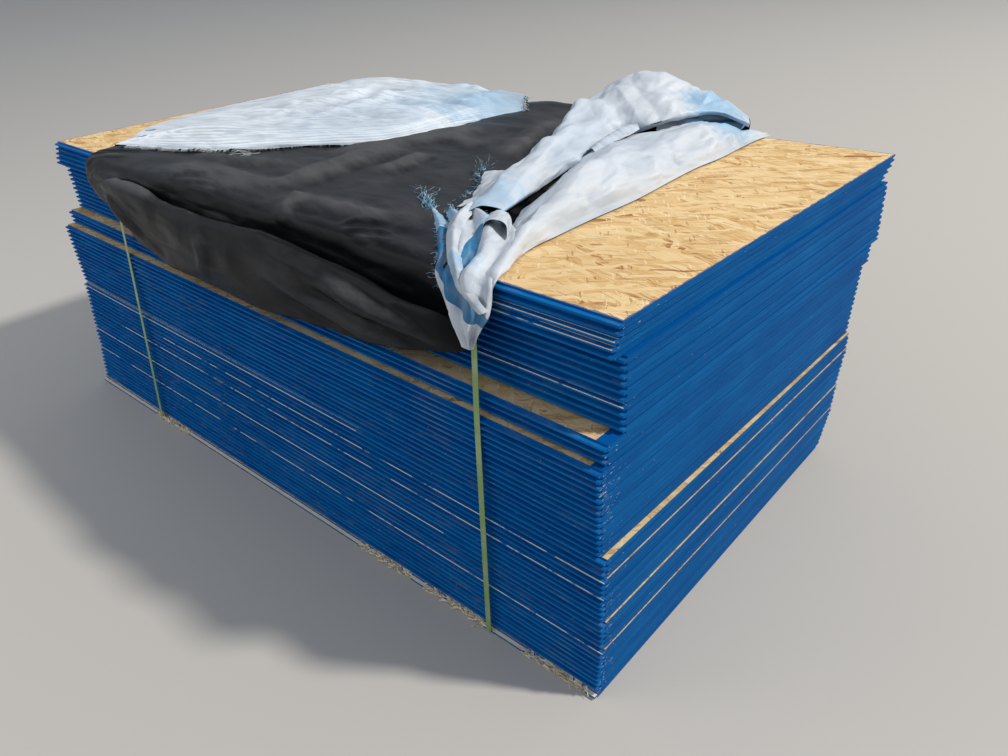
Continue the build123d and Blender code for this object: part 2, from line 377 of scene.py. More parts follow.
def mix(share, one, two):
    return put("Mix", i0=share, i2=one, i3=two)


def mixColor(share, one, two):
    return put("Mix", {"data_type": "RGBA"}, 2, i0=share, i6=one, i7=two)


def ramp(value, stops):
    made = put("ValToRGB", Fac=value)
    elements = made.socket.node.color_ramp.elements
    while len(elements) < len(stops):
        elements.new(0.5)
    for element, (place, color) in zip(elements, stops):
        element.position = place
        element.color = color
    return made


def band(value, low, high):
    # a smooth step from 0 at low to 1 at high
    return put("MapRange", {"interpolation_type": "SMOOTHSTEP"}, Value=value, From_Min=low, From_Max=high)


def turned(vector, angle):
    return put("VectorRotate", {"rotation_type": "Z_AXIS"}, Vector=vector, Angle=angle)


def scaled(vector, factors, turn=0.0, shift=(0.0, 0.0, 0.0)):
    # rotates about Z first, then stretches
    return vectorCalc("MULTIPLY", vectorCalc("ADD", turned(vector, turn), shift), factors)


def noise(vector, scale, detail, rough, kind="3D", turn=0.0):
    # the scale is one number, or one for each axis
    if isinstance(scale, tuple):
        vector, scale = scaled(vector, scale, turn), 1.0
    settings = {"noise_dimensions": kind}
    return put("TexNoise", settings, Vector=vector, Scale=scale, Detail=detail, Roughness=rough)


def warped(vector, scale, detail, reach, kind="3D"):
    # a place moved a little way by a noise
    drift = put("TexNoise", {"noise_dimensions": kind}, 1, Vector=vector, Scale=scale, Detail=detail)
    drift = put("VectorMath", {"operation": "SCALE"}, i0=drift, Scale=reach)
    return vectorCalc("ADD", vector, drift)


def flatCells(vector):
    # three random numbers for each cell of a flat pattern
    cells = put("TexVoronoi", {"voronoi_dimensions": "2D"}, 1, Vector=vector, Scale=1.0, Randomness=1.0)
    return split(cells, "SeparateColor")


def cellEdges(vector, scale=1.0, randomness=1.0):
    # the distance to the borders of random cells
    settings = {"feature": "DISTANCE_TO_EDGE"}
    return put("TexVoronoi", settings, Vector=vector, Scale=scale, Randomness=randomness)


def objectPlace():
    return put("TexCoord", out=3)


def facing():
    # the three parts of the surface's direction
    return split(put("NewGeometry", out=1))


def attribute(name):
    return put("Attribute", {"attribute_name": name}, 2)


# strand board with painted edges: flakes on the level faces, blue paint on the rest
board = {
    "flakeTurns": (0.1, -0.5, 0.4, 0.95, -0.2, 0.25, -0.7),
    "flakeLength": 0.085,
    "flakeWidth": 0.0125,
    "flakeShare": 0.42,
    # scale and detail of a noise, and how far it moves the flakes
    "flakeDrift": (11.0, 2.0, 0.04),
    # how rare the dark flakes are, and how much darker
    "rareDark": (0.958, 0.42),
    "speckStrength": 0.45,
    # turn, shift, cells per metre, and how rare the pale and the dark ones are
    "specks": (
        (0.9, 0.0, (44.0, 300.0, 1.0), 0.982, 0.007),
        (-0.42, 5.3, (27.0, 480.0, 1.0), 0.975, 0.018),
        (0.25, 2.7, (31.0, 430.0, 1.0), 0.965, 0.016),
    ),
    "paleFlake": (0.80, 0.595, 0.325, 1.0),
    "midFlake": (0.72, 0.49, 0.235, 1.0),
    "tanFlake": (0.60, 0.37, 0.155, 1.0),
    "brownFlake": (0.36, 0.175, 0.07, 1.0),
    "chip": (0.95, 0.80, 0.54, 1.0),
    "crack": (0.14, 0.065, 0.025, 1.0),
    "paint": (0.0012, 0.084, 0.315, 1.0),
    "paintLight": (0.006, 0.165, 0.45, 1.0),
    "shadedEndPaint": (0.0006, 0.052, 0.205, 1.0),
    "shadedEndLight": (0.003, 0.115, 0.33, 1.0),
    "jointShadow": 0.05,
    "jointReach": 0.0009,
    "jointShadowPaint": (0.001, 0.018, 0.07, 1.0),
    "dust": (0.42, 0.36, 0.26, 1.0),
    "dustAmount": 0.3,
    "smudgeAmount": 0.13,
    "rawEdge": (0.74, 0.70, 0.55, 1.0),
    "rawShare": 0.85,
    "stain": (0.46, 0.27, 0.10, 1.0),
    "stainAmount": 0.22,
    "grimeAmount": 0.22,
    "sprayAmount": 0.8,
    "paintRoughness": 0.55,
    "woodRoughness": 0.8,
    "paintGloss": 0.03,
    "overspray": 0.006,
    # sprayed upper faces at the right end: from x, between two heights
    "sprayFrom": 1.2,
    "sprayHeights": (0.5, 0.93),
    # noises: scale, or one for each axis, then detail and roughness
    "grain": ((26.0, 400.0, 1.0), 1.5, 0.7),
    "brushing": ((11.0, 11.0, 520.0), 3.5, 0.75),
    "blotches": (3.2, 4.0, 0.6),
    "powder": ((9.0, 9.0, 60.0), 5.0, 0.7),
    "smudges": (2.3, 5.0, 0.65),
    "wear": ((26.0, 26.0, 160.0), 4.0, 0.7),
    "speckle": ((60.0, 60.0, 520.0), 3.0, 0.6),
    "broken": ((11.0, 3.0, 3.0), 4.0, 0.65),
    "ragged": (45.0, 3.0, 0.6),
    "stains": (1.7, 3.0, 0.6),
    # middle and turn of the top and the bottom panel, and half their size
    "topPanel": (0.0264, 0.0398, -0.55),
    "bottomPanel": (-0.0196, -0.0307, 1.15),
    "halfSize": (1.219, 0.603),
    # the tongue: how far it stands out, its middle height, and half its worn height
    "tongue": 0.0115,
    "tip": (0.00795, 0.0042),
    # panels whose upper face shows as bare board
    "bareTops": (9, 14, 22, 25, 39, 42, 57),
    # how far under the next panel the raw line lies, and half its height
    "bareLine": (0.0052, 0.0017),
    # joints that show raw board in front: panel below, from x, to x, strength
    "bareJoints": (
        (9, -1.25, 1.25, 0.55),
        (14, -1.25, 0.75, 0.9),
        (19, -1.0, 1.25, 0.55),
        (22, -0.6, 1.25, 0.6),
        (25, -1.25, 0.45, 0.85),
        (46, 0.5, 1.25, 0.7),
        (54, 0.2, 1.25, 0.75),
        (55, 0.2, 1.25, 0.95),
    ),
}


def flakeColor(flat):
    # layers of long cells, each turned its own way, the upper ones only here and there
    bent = warped(flat, *board["flakeDrift"], "2D")
    stops = [(0.0, board["brownFlake"]), (0.16, board["tanFlake"]), (0.42, board["midFlake"]),
             (0.8, board["paleFlake"])]
    for layer, turn in enumerate(board["flakeTurns"]):
        width = board["flakeWidth"] * (1.0 + 0.35 * (layer % 3))
        length = board["flakeLength"] * (1.0 - 0.2 * (layer % 2))
        shift = (0.37 * layer, 0.61 * layer, 0.0)
        shade, rank, chance = flatCells(scaled(bent, (1.0 / length, 1.0 / width, 1.0), turn, shift))
        grain = noise(bent, *board["grain"], "2D", turn)
        rare = (chance > board["rareDark"][0]) * board["rareDark"][1]
        own = ramp((shade - 0.5) * 0.8 + (grain - 0.5) + 0.52 - rare, stops)
        if layer == 0:
            color, height = own, shade
        else:
            shown = rank > 1.0 - board["flakeShare"]
            color = mixColor(shown, color, own)
            height = mix(shown, height, shade * 0.6 + 0.25 * layer)
    # pale chips and thin dark cracks lie every way between the flakes
    for turn, shift, size, palest, darkest in board["specks"]:
        pale, dark, _ = flatCells(scaled(flat, size, turn, (shift, 0.0, 0.0)))
        color = mixColor((pale > palest) * board["speckStrength"], color, board["chip"])
        color = mixColor((dark < darkest) * board["speckStrength"], color, board["crack"])
    return color, height


def insideOf(place, panel):
    # how far a point lies in from the ends and from the front of one panel
    middleX, middleY, turn = board[panel]
    moved = vectorCalc("SUBTRACT", place, (middleX, middleY, 0.0))
    along, across, _ = split(turned(moved, -radians(turn)))
    halfLength, halfWidth = board["halfSize"]
    return halfLength - calc("ABSOLUTE", along), halfWidth - calc("ABSOLUTE", across)


def boardMaterial():
    material, shader = newMaterial("strandBoard")
    place = objectPlace()
    x, y, z = split(place)
    normalX, normalY, normalZ = facing()
    number = calc("FLOOR", (z + 0.0002) / unit["pitch"])
    up = z - number * unit["pitch"]
    # each face of each panel is its own stretch of flakes
    flakes, height = flakeColor(put("CombineXYZ", X=x + number * 3.71, Y=y + number * 1.93))
    front = normalY * -1.0 > 0.25
    side = calc("ABSOLUTE", normalX) > 0.5

    # paint: fine brushing along the edge, a shade of its own for each panel, and dust
    shade = put("TexWhiteNoise", {"noise_dimensions": "1D"}, W=number)
    brushed = noise(place, *board["brushing"])
    blotch = noise(place, *board["blotches"])
    lightness = shade * 0.16 + brushed * 0.95 + blotch * 0.5
    paint = mixColor(band(lightness, 0.5, 1.1), board["paint"], board["paintLight"])
    # painted shade: the end faces take a darker copy of the blue paint, so the key light leaves them less
    # bright against the fronts
    shadedEndCoat = mixColor(band(lightness, 0.5, 1.15), board["shadedEndPaint"], board["shadedEndLight"])
    paint = mixColor(side, paint, shadedEndCoat)
    # painted shadow: a thin dark line of paint along each joint on the end faces, where the gap between
    # panels is shaded
    closeToJoint = calc("MINIMUM", up, unit["thickness"] - up) < board["jointReach"]
    paint = mixColor(closeToJoint * side * (blotch + board["jointShadow"]), paint, board["jointShadowPaint"])
    powder = noise(place, *board["powder"])
    dusty = band(normalZ, 0.15, 0.6) * band(powder, 0.5, 0.85) * board["dustAmount"]
    paint = mixColor(dusty, paint, board["dust"])
    smudge = band(noise(place, *board["smudges"]), 0.55, 0.75) * front * board["smudgeAmount"]
    paint = mixColor(smudge, paint, board["dust"])

    # bare places: worn tips and specks, the named joints, and where the bottom panel is crushed
    worn = band(noise(place, *board["wear"]), 0.7, 0.74) * front * within(up, *board["tip"])
    corner = band(y, -0.5, -0.62)
    specks = noise(place, *board["speckle"]) > 0.74 - corner * side * 0.10
    bare = larger(worn, specks * 0.75)
    broken = noise(place, *board["broken"])
    below, halfLine = board["bareLine"]
    for joint, left, right, strength in board["bareJoints"]:
        near = within(z, (joint + 1) * unit["pitch"] - below, halfLine)
        shown = band(broken, 0.62 - 0.34 * strength, 0.7 - 0.34 * strength)
        bare = larger(bare, near * (x > left) * (x < right) * front * shown)
    depth = insideOf(place, "bottomPanel")[1] + board["tongue"]
    off = (depth > 0.0015) * (1.0 - within(depth, board["tongue"], 0.0006))
    bare = larger(bare, off * (number < 0.5) * (normalY < -0.02) * (1.0 - side))
    edges = mixColor(bare, paint, mixColor(board["rawShare"], flakes, board["rawEdge"]))

    # only some upper faces are bare; paint went a little way on to the top one
    ragged = noise(place, *board["ragged"]) * (2.0 * board["overspray"])
    belowTop = unit["height"] - 0.001
    sprayed = calc("MINIMUM", *insideOf(place, "topPanel")) < ragged - board["overspray"] * 0.35
    sprayed = sprayed * (z > belowTop)
    shows = number < 0.5
    for top in board["bareTops"]:
        shows = larger(shows, within(number, float(top), 0.1))
    lowest, highest = board["sprayHeights"]
    shows = shows * (1.0 - (x > board["sprayFrom"]) * (z < highest) * (z > lowest))
    stain = band(noise(place, *board["stains"]), 0.42, 0.75) * board["stainAmount"]
    face = mixColor(stain, flakes, board["stain"])
    grime = (z < belowTop) * band(powder, 0.35, 0.6) * board["grimeAmount"]
    face = mixColor(grime, face, board["dust"])
    face = mixColor(sprayed * board["sprayAmount"], face, board["paint"])
    face = mixColor(shows, board["paint"], face)
    level = calc("ABSOLUTE", normalZ) > 0.9985
    wood = level * shows
    relief = put("Bump", Strength=0.6, Distance=0.0007, Height=mix(wood, brushed * 1.5, height))
    feed(shader, Base_Color=mixColor(level, edges, face), Specular_IOR_Level=board["paintGloss"],
         Roughness=mix(wood, board["paintRoughness"], board["woodRoughness"]), Normal=relief)
    return material


boardPaint = boardMaterial()
print("board material done")

strap = {
    "color": (0.205, 0.335, 0.115, 1.0),
    "dusty": (0.36, 0.42, 0.22, 1.0),
    "dust": (14.0, 4.0, 0.6),
    "roughness": 0.42,
    "pattern": 0.0022,
}


def strapMaterial():
    material, shader = newMaterial("strapGreen")
    place = objectPlace()
    dust = band(noise(place, *strap["dust"]), 0.4, 0.75)
    # embossed with a fine waffle, as the band is rolled
    waffle = cellEdges(scaled(place, (1.0 / strap["pattern"],) * 3), randomness=0.15)
    feed(shader, Base_Color=mixColor(dust, strap["color"], strap["dusty"]), Roughness=strap["roughness"],
         Normal=put("Bump", Strength=0.35, Distance=0.0003, Height=waffle))
    return material


strapPaint = strapMaterial()

for nodeName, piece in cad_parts.items():
    piece.data.materials.clear()
    piece.data.materials.append(strapPaint if nodeName.startswith("strap") else boardPaint)
    piece.data.polygons.foreach_set("use_smooth", np.zeros(len(piece.data.polygons), bool))
print("panels and straps dressed")

# woven cover
cloth = {
    "thickness": 0.0006,
    "weave": 0.0024,
    "white": (0.58, 0.62, 0.675, 1.0),
    # painted light: the flap is the same fabric as the rest, given a lighter white
    "flapWhiteLit": (0.76, 0.81, 0.86, 1.0),
    "blueTint": (0.25, 0.47, 0.68, 1.0),
    "bandBlue": (0.0, 0.14, 0.31, 1.0),
    "dirt": (0.46, 0.41, 0.33, 1.0),
    "black": (0.0036, 0.0040, 0.0052, 1.0),
    "blackDustAndSheen": (0.083, 0.085, 0.089, 1.0),
    "blackRoughness": 0.36,
    "blackGloss": 0.13,
    "blackFacets": (3.0, 8.0, 8.0),
    "foldHighlightAndShade": 0.16,
    "ridgeSheen": 0.24,
    "valleyShade": 0.72,
    "valleyShadeGrey": (0.30, 0.36, 0.43, 1.0),
    "pleatShadeGrey": (0.34, 0.40, 0.47, 1.0),
    "whiteRoughness": 0.46,
    "whiteGloss": 0.35,
    # the facets' drift: scale and detail of a noise, and how far it moves them; then their depth
    "facetDrift": (5.0, 1.0, 0.07),
    "blackDepth": 0.006,
    "whiteDepth": 0.011,
    "dirtAmount": 0.25,
    # noises: scale, or one for each axis, then detail and roughness
    "patches": ((1.6, 3.4, 4.0), 4.5, 0.62),
    "dustStreaks": ((7.0, 30.0, 22.0), 4.0, 0.7),
    "dirtPatches": (6.0, 5.0, 0.6),
    "raggedBorders": ((12.0, 30.0, 30.0), 4.0, 0.75),
    "pleatShadeLines": ((7.0, 105.0, 1.0), 2.0, 0.6),
}


def clothUv():
    return put("UVMap", {"uv_map": "cloth"})


def weaveBump(place, stretch, strength, depth):
    # tapes over and under each other, seen only close to, under flat facets that meet in sharp lines:
    # the distance to the borders of stretched cells, large and small
    checks = put("TexChecker", out=1, Vector=clothUv(), Scale=1.0 / cloth["weave"])
    weave = put("Bump", Strength=strength, Distance=0.0002, Height=checks)
    cells = scaled(warped(place, *cloth["facetDrift"]), stretch)
    facets = cellEdges(cells) + cellEdges(cells, 2.7) * 0.16
    return put("Bump", Strength=1.0, Distance=depth, Height=facets, Normal=weave)


def blackMaterial():
    material, shader = newMaterial("coverBlack")
    place = objectPlace()
    tone = attribute("tone")
    streaks = noise(place, *cloth["dustStreaks"], turn=0.25)
    # real dust patches and streaks, plus the tone: painted highlight on fold ridges and painted shade in fold
    # valleys; ridgeSheen lifts the ridges further as a painted sheen
    dust = noise(place, *cloth["patches"]) * 0.75 + streaks * 0.35 + tone * cloth["foldHighlightAndShade"]
    settledAndSheen = band(facing()[2], 0.25, 0.97) * 0.68 + 0.08 + larger(tone, 0.0) * cloth["ridgeSheen"]
    shown = band(dust, 0.43, 0.80) * settledAndSheen
    feed(shader, Base_Color=mixColor(shown, cloth["black"], cloth["blackDustAndSheen"]),
         Roughness=shown * 0.4 + cloth["blackRoughness"], Specular_IOR_Level=cloth["blackGloss"],
         Normal=weaveBump(place, cloth["blackFacets"], 0.25, cloth["blackDepth"]))
    return material


def whiteMaterial(name, white, stretch, streaks, tint):
    # streaks: strength of the grey lines along the sheet, a painted shade between fine pleats; tint: centre,
    # reach and strength of each bluish patch
    material, shader = newMaterial(name)
    place = objectPlace()
    dirt = band(noise(place, *cloth["dirtPatches"]), 0.52, 0.8) * cloth["dirtAmount"]
    color = mixColor(dirt, white, cloth["dirt"])
    ragged = (noise(place, *cloth["raggedBorders"]) - 0.5) * 1.9
    for centre, reach, strength in tint:
        near = vectorCalc("DISTANCE", place, centre, 1) / reach + ragged
        color = mixColor((1.0 - band(near, 0.3, 0.95)) * strength, color, cloth["blueTint"])
    inside = attribute("printed") + ragged * 0.002 < 0.0
    color = mixColor(inside, color, cloth["bandBlue"])
    # painted shade: the cloth turns grey where the tone marks a valley
    valley = band(attribute("tone"), 0.35, -1.0) * cloth["valleyShade"]
    color = mixColor(valley, color, cloth["valleyShadeGrey"])
    # painted shade: thin grey lines along the sheet, for the shade between fine pleats
    lines = band(noise(clothUv(), *cloth["pleatShadeLines"], "2D"), 0.5, 0.68) * streaks
    feed(shader, Base_Color=mixColor(lines, color, cloth["pleatShadeGrey"]), Roughness=cloth["whiteRoughness"],
         Specular_IOR_Level=cloth["whiteGloss"], Normal=weaveBump(place, stretch, 0.3, cloth["whiteDepth"]))
    return material


blackCloth = blackMaterial()
flapCloth = whiteMaterial(
    "coverWhiteFlap", cloth["flapWhiteLit"], (3.0, 9.0, 9.0), 0.47,
    (((0.0, 0.46, 0.99), 0.26, 0.62), ((-0.2, 0.45, 0.99), 0.3, 0.35), ((-0.3, 0.1, 0.98), 0.4, 0.2)),
)
bunchCloth = whiteMaterial(
    "coverWhiteBunch", cloth["white"], (9.0, 5.5, 9.0), 0.14,
    (((0.79, 0.53, 1.02), 0.15, 0.85), ((0.69, -0.32, 0.98), 0.14, 0.55), ((0.63, 0.1, 1.03), 0.3, 0.15)),
)
trailCloth = whiteMaterial(
    "coverWhiteTrail", cloth["white"], (16.0, 11.0, 11.0), 0.18,
    (((0.62, -0.43, 0.955), 0.11, 1.0), ((0.86, -0.57, 0.945), 0.06, 0.7), ((0.8, -0.4, 0.98), 0.07, 0.6)),
)


# frayed tapes: size of the changes along a strand, and the few colours it mostly has
threads = {
    "paleThread": (70.0, (0.42, 0.60, 0.72, 1.0), (0.66, 0.70, 0.73, 1.0), (0.70, 0.70, 0.68, 1.0)),
    "blueThread": (60.0, (0.02, 0.16, 0.30, 1.0), (0.25, 0.50, 0.68, 1.0), (0.66, 0.74, 0.78, 1.0)),
    "darkThread": (80.0, (0.012, 0.014, 0.018, 1.0), (0.03, 0.13, 0.22, 1.0), (0.45, 0.58, 0.66, 1.0)),
}


def threadMaterial(name, size, *colors):
    material, shader = newMaterial(name)
    tone = band(noise(objectPlace(), size, 2.0, 0.5), 0.3, 0.7)
    stops = [(place, color) for place, color in zip(np.linspace(0.0, 1.0, len(colors)), colors)]
    feed(shader, Base_Color=ramp(tone, stops), Roughness=0.5)
    return material


paleThread, blueThread, darkThread = [threadMaterial(name, *own) for name, own in threads.items()]
print("cloth materials done")

# the black side: back edge, over the top, over the tongues and down to the hem; one row for each
# place along the unit
lining = {
    "rows": [
        [(-850, 600, 941.5), (-850, 400, 941.5), (-850, 150, 941.5), (-850, -100, 941.5), (-850, -350, 941.5),
         (-850, -500, 943), (-868, -574, 930), (-868, -596, 890), (-846, -606, 868), (-790, -610, 856),
         (-770, -612, 850), (-690, -612, 840)],
        [(-890, 600, 943), (-890, 400, 943), (-890, 150, 943), (-890, -100, 944), (-888, -350, 946),
         (-885, -505, 948), (-899, -582, 933), (-897, -606, 892), (-872, -618, 860), (-815, -628, 842),
         (-775, -634, 832), (-712, -634, 822)],
        [(-780, 605, 944), (-780, 400, 944), (-780, 150, 944), (-780, -100, 945), (-780, -350, 946),
         (-780, -515, 950), (-800, -592, 942), (-790, -618, 905), (-752, -622, 880), (-728, -634, 872),
         (-700, -640, 850), (-655, -638, 826)],
        [(-600, 610, 944), (-600, 400, 944), (-600, 150, 944), (-600, -100, 945), (-600, -350, 948),
         (-600, -515, 955), (-600, -590, 944), (-560, -606, 918), (-560, -614, 890), (-570, -644, 898),
         (-590, -660, 830), (-560, -644, 738)],
        [(-400, 612, 944), (-400, 400, 944), (-400, 150, 944), (-400, -100, 946), (-400, -350, 950),
         (-400, -515, 950), (-385, -588, 944), (-350, -604, 908), (-345, -614, 872), (-350, -646, 893),
         (-370, -666, 810), (-370, -646, 705)],
        [(-150, 615, 946), (-150, 400, 946), (-150, 150, 945), (-150, -100, 946), (-150, -350, 951),
         (-150, -515, 948), (-130, -588, 941), (-100, -602, 892), (-100, -613, 862), (-105, -646, 889),
         (-120, -669, 800), (-130, -648, 694)],
        [(60, 612, 972), (60, 400, 960), (60, 150, 950), (60, -100, 950), (70, -350, 954),
         (80, -515, 950), (100, -588, 942), (120, -602, 888), (120, -613, 858), (120, -646, 900),
         (110, -670, 805), (100, -648, 692)],
        [(250, 612, 966), (250, 400, 960), (260, 150, 952), (270, -100, 952), (290, -350, 955),
         (300, -515, 953), (320, -590, 946), (330, -604, 897), (330, -614, 862), (330, -648, 902),
         (320, -670, 812), (310, -648, 708)],
        [(440, 612, 950), (440, 400, 950), (450, 150, 948), (470, -100, 948), (490, -350, 952),
         (500, -515, 951), (510, -592, 944), (520, -606, 888), (520, -616, 855), (530, -650, 892),
         (530, -670, 812), (520, -648, 722)],
        [(650, 612, 946), (650, 400, 946), (650, 150, 945), (655, -100, 945), (660, -350, 947),
         (665, -515, 947), (680, -594, 938), (690, -606, 866), (695, -616, 842), (705, -650, 872),
         (715, -666, 810), (720, -646, 750)],
        [(790, 612, 944), (790, 400, 944), (790, 150, 944), (790, -100, 944), (790, -350, 944),
         (790, -515, 945), (800, -596, 936), (805, -606, 856), (812, -616, 838), (822, -640, 862),
         (835, -652, 810), (850, -636, 778)],
        [(850, 612, 943), (850, 400, 943), (850, 150, 943), (850, -100, 943), (850, -350, 943),
         (852, -515, 944), (856, -598, 936), (858, -609, 866), (862, -616, 846), (868, -620, 838),
         (874, -624, 812), (882, -624, 790)],
    ],
    "fineness": (270, 178),
    "seed": 11,
    # size and height of the creases
    "broad": (0.42, 0.006),
    "fine": (0.15, 0.0022),
    "facets": (0.1, 0.0032),
    "tiny": 0.0008,
    # the rolled pocket at the far end: ridges and valleys that run into its corner
    "gathers": (
        (0.006, 0.020, [(-905, -555, 950), (-835, -535, 952), (-745, -502, 952), (-650, -480)]),
        (-0.010, 0.014, [(-905, -568), (-835, -548, 952), (-745, -518, 952), (-650, -494)]),
        (0.010, 0.016, [(-905, -580, 940), (-840, -560), (-760, -530, 952), (-680, -505, 950)]),
        (-0.010, 0.014, [(-902, -588, 932), (-840, -566, 942), (-760, -540, 950), (-690, -515, 950)]),
        (0.014, 0.018, [(-898, -602, 905), (-840, -590, 925), (-770, -570, 940), (-690, -545, 950)]),
        (-0.010, 0.014, [(-880, -612, 880), (-820, -606, 905), (-760, -594, 925), (-690, -572, 940)]),
    ),
    # height and reach in metres, and the line each fold follows
    "folds": (
        (0.020, 0.09, [(-470, -545), (-303, -520), (-125, -510), (66, -500)]),
        (0.022, 0.09, [(66, -520), (60, -416), (32, -226), (36, -15)]),
        (0.018, 0.06, [(129, -575), (166, -540), (271, -514), (425, -503), (560, -497)]),
        (0.014, 0.035, [(290, -600), (235, -575), (202, -495)]),
        (0.018, 0.09, [(-76, -228), (-58, -67), (17, 113), (118, 264)]),
        (0.018, 0.06, [(188, -268), (202, -186), (163, -50)]),
        (0.015, 0.05, [(90, 129), (204, 101), (267, 92)]),
        (0.012, 0.05, [(-520, -420), (-330, -400), (-120, -330)]),
        (0.014, 0.06, [(260, 420, 955), (330, 200, 952), (400, 20, 950)]),
        (0.007, 0.015, [(-325, -575), (-293, -545), (-185, -534)]),
        (0.007, 0.014, [(-274, -588), (-206, -575), (-129, -562)]),
        (0.007, 0.014, [(-224, -592, 945), (-136, -590, 945), (-63, -586, 945)]),
        (0.007, 0.014, [(442, -574), (463, -533), (534, -514)]),
        (0.007, 0.014, [(473, -585), (515, -563), (590, -542)]),
        (0.007, 0.014, [(520, -592, 945), (564, -588, 945), (615, -573)]),
        (0.007, 0.014, [(438, -523), (453, -486), (512, -475)]),
        (-0.012, 0.022, [(-900, -600, 905), (-850, -570, 938), (-770, -525, 955), (-690, -480)]),
        (0.014, 0.035, [(-770, -612, 900), (-640, -625, 895), (-560, -646, 893), (-350, -648, 890)]),
        (0.020, 0.026, [(480, -665, 868), (690, -664, 825), (840, -645, 792)]),
        (0.020, 0.026, [(230, -668, 812), (500, -668, 775), (760, -656, 760)]),
        (-0.012, 0.022, [(380, -668, 838), (600, -668, 800), (800, -652, 778)]),
        (-0.010, 0.020, [(260, -660, 760), (480, -660, 735), (700, -650, 745)]),
        (0.012, 0.03, [(-90, -668, 850), (-60, -668, 790), (-110, -660, 730)]),
        (0.010, 0.03, [(150, -668, 850), (300, -668, 830), (520, -668, 835), (700, -660, 825)]),
        (-0.010, 0.03, [(-620, -640, 860), (-500, -660, 820), (-400, -665, 760), (-330, -655, 720)]),
        (0.010, 0.03, [(-660, -645, 850), (-560, -655, 790), (-470, -655, 745)]),
    ),
}


def buildLining():
    grid = netSurface(lining["rows"], *lining["fineness"])
    x, y = grid[..., 0], grid[..., 1]
    seed = lining["seed"]
    hanging = clamp((gridShares(grid)[1] - 0.55) / 0.2)
    # long soft folds that run along the unit, finer on the hanging part
    stretched = grid * (1.0, 3.2, 3.2)
    broad = creases(stretched, *lining["broad"], seed)
    fine = creases(stretched, *lining["fine"], seed + 1)
    tiny = latticeNoise(grid * (18.0, 60.0, 60.0), seed + 2) * lining["tiny"]
    facets = crumple(grid * (0.45, 1.0, 1.0), *lining["facets"], seed + 3)
    folds = foldLines(grid, lining["folds"])
    amount = broad * (0.6 + 0.8 * hanging) + fine * (0.6 + 0.6 * hanging) + tiny + facets + folds
    gathers = foldLines(grid, lining["gathers"])
    # the pocket is darker than the rest
    pocket = clamp((-0.62 - x) / 0.1) * clamp((-0.40 - y) / 0.06)
    # tone paints the folds: painted highlight on ridges and painted shade in valleys, and the pocket darker
    # still
    tone = folds * (1.0 + 0.8 * hanging) + 3.0 * gathers + facets + 0.5 * broad - 0.002 - 0.011 * pocket
    tone = np.clip(tone / 0.012, -1.0, 1.0)
    # it lies calm at its ends and under the flap's corner
    fade = clamp(np.minimum(x + 0.9, 0.86 - x) / 0.12, 0.15)
    under = clamp((-0.40 - x) / 0.1) * clamp((y + 0.53) / 0.03)
    fade = fade * (1.0 - 0.85 * under)
    lowest = -0.0015 - 0.006 * hanging
    amount = np.maximum(np.maximum(amount, lowest) * fade + gathers, lowest)
    return addSheet("coverLiningCloth", grid, amount, blackCloth, tone)


liningCloth, liningArea, _ = buildLining()
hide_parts("cover_lining")
print("lining done")

# the white side, folded back: near edge, pleated band, and up to the ridge along the back; one row
# from left to right
flap = {
    "rows": [
        [(-842, -512, 956), (-900, -452, 955), (-962, -388, 953), (-1052, -272, 955), (-1112, 0, 953),
         (-1172, 480, 942), (-1195, 612, 940)],
        [(-781, -478, 958), (-830, -420, 960), (-880, -300, 962), (-935, -120, 968), (-985, 120, 967),
         (-1040, 550, 955), (-1050, 616, 943)],
        [(-613, -431, 959), (-650, -350, 965), (-700, -210, 968), (-740, 0, 977), (-770, 250, 990),
         (-790, 560, 1001), (-800, 618, 950)],
        [(-428, -350, 959), (-455, -260, 968), (-485, -120, 970), (-505, 60, 980), (-515, 300, 995),
         (-530, 568, 1006), (-540, 620, 950)],
        [(-250, -175, 954), (-270, -95, 968), (-290, 0, 972), (-320, 150, 985), (-340, 350, 1000),
         (-340, 575, 1003), (-340, 620, 950)],
        [(-73, -16, 954), (-95, 60, 968), (-120, 130, 976), (-150, 250, 986), (-160, 400, 999),
         (-170, 570, 992), (-175, 616, 950)],
        [(23, 332, 956), (-10, 370, 974), (-35, 410, 988), (-50, 450, 999), (-60, 500, 1009),
         (-60, 560, 1003), (-60, 606, 952)],
        [(88, 470, 955), (80, 482, 968), (68, 496, 984), (54, 512, 998), (38, 532, 1006),
         (18, 566, 1000), (0, 600, 956)],
    ],
    "fineness": (205, 235),
    "bias": 1.6,
    # how many pleats, how high, and the share of the sheet that they take up
    "pleats": 9.0,
    "pleatHeight": 0.012,
    "pleatBand": 0.37,
    "seed": 31,
    # size and height of the creases
    "broad": (0.33, 0.007),
    "fine": (0.2, 0.013),
    "tiny": (0.08, 0.0026),
    "knots": (
        (0.013, [(-896, -418, 956), (-868, -402, 956)]),
        (0.011, [(-975, -335, 960), (-955, -322, 960)]),
    ),
    "folds": (
        (0.012, 0.07, [(-900, 330, 985), (-650, 300, 990), (-420, 330, 996), (-250, 430, 1000)]),
        (0.010, 0.05, [(-470, 60, 980), (-420, 250, 992), (-440, 430, 1000)]),
        (0.009, 0.05, [(-640, 120, 985), (-600, 280, 990), (-640, 450, 998)]),
        (-0.008, 0.05, [(-560, 110, 985), (-520, 260, 990), (-540, 430, 998)]),
        (0.010, 0.045, [(-330, 190, 988), (-230, 260, 992), (-90, 300, 992)]),
        (-0.008, 0.04, [(-300, 250, 990), (-200, 320, 995), (-70, 370, 992)]),
        (0.008, 0.04, [(-260, 420, 1000), (-150, 440, 995), (-40, 430, 990)]),
    ),
}


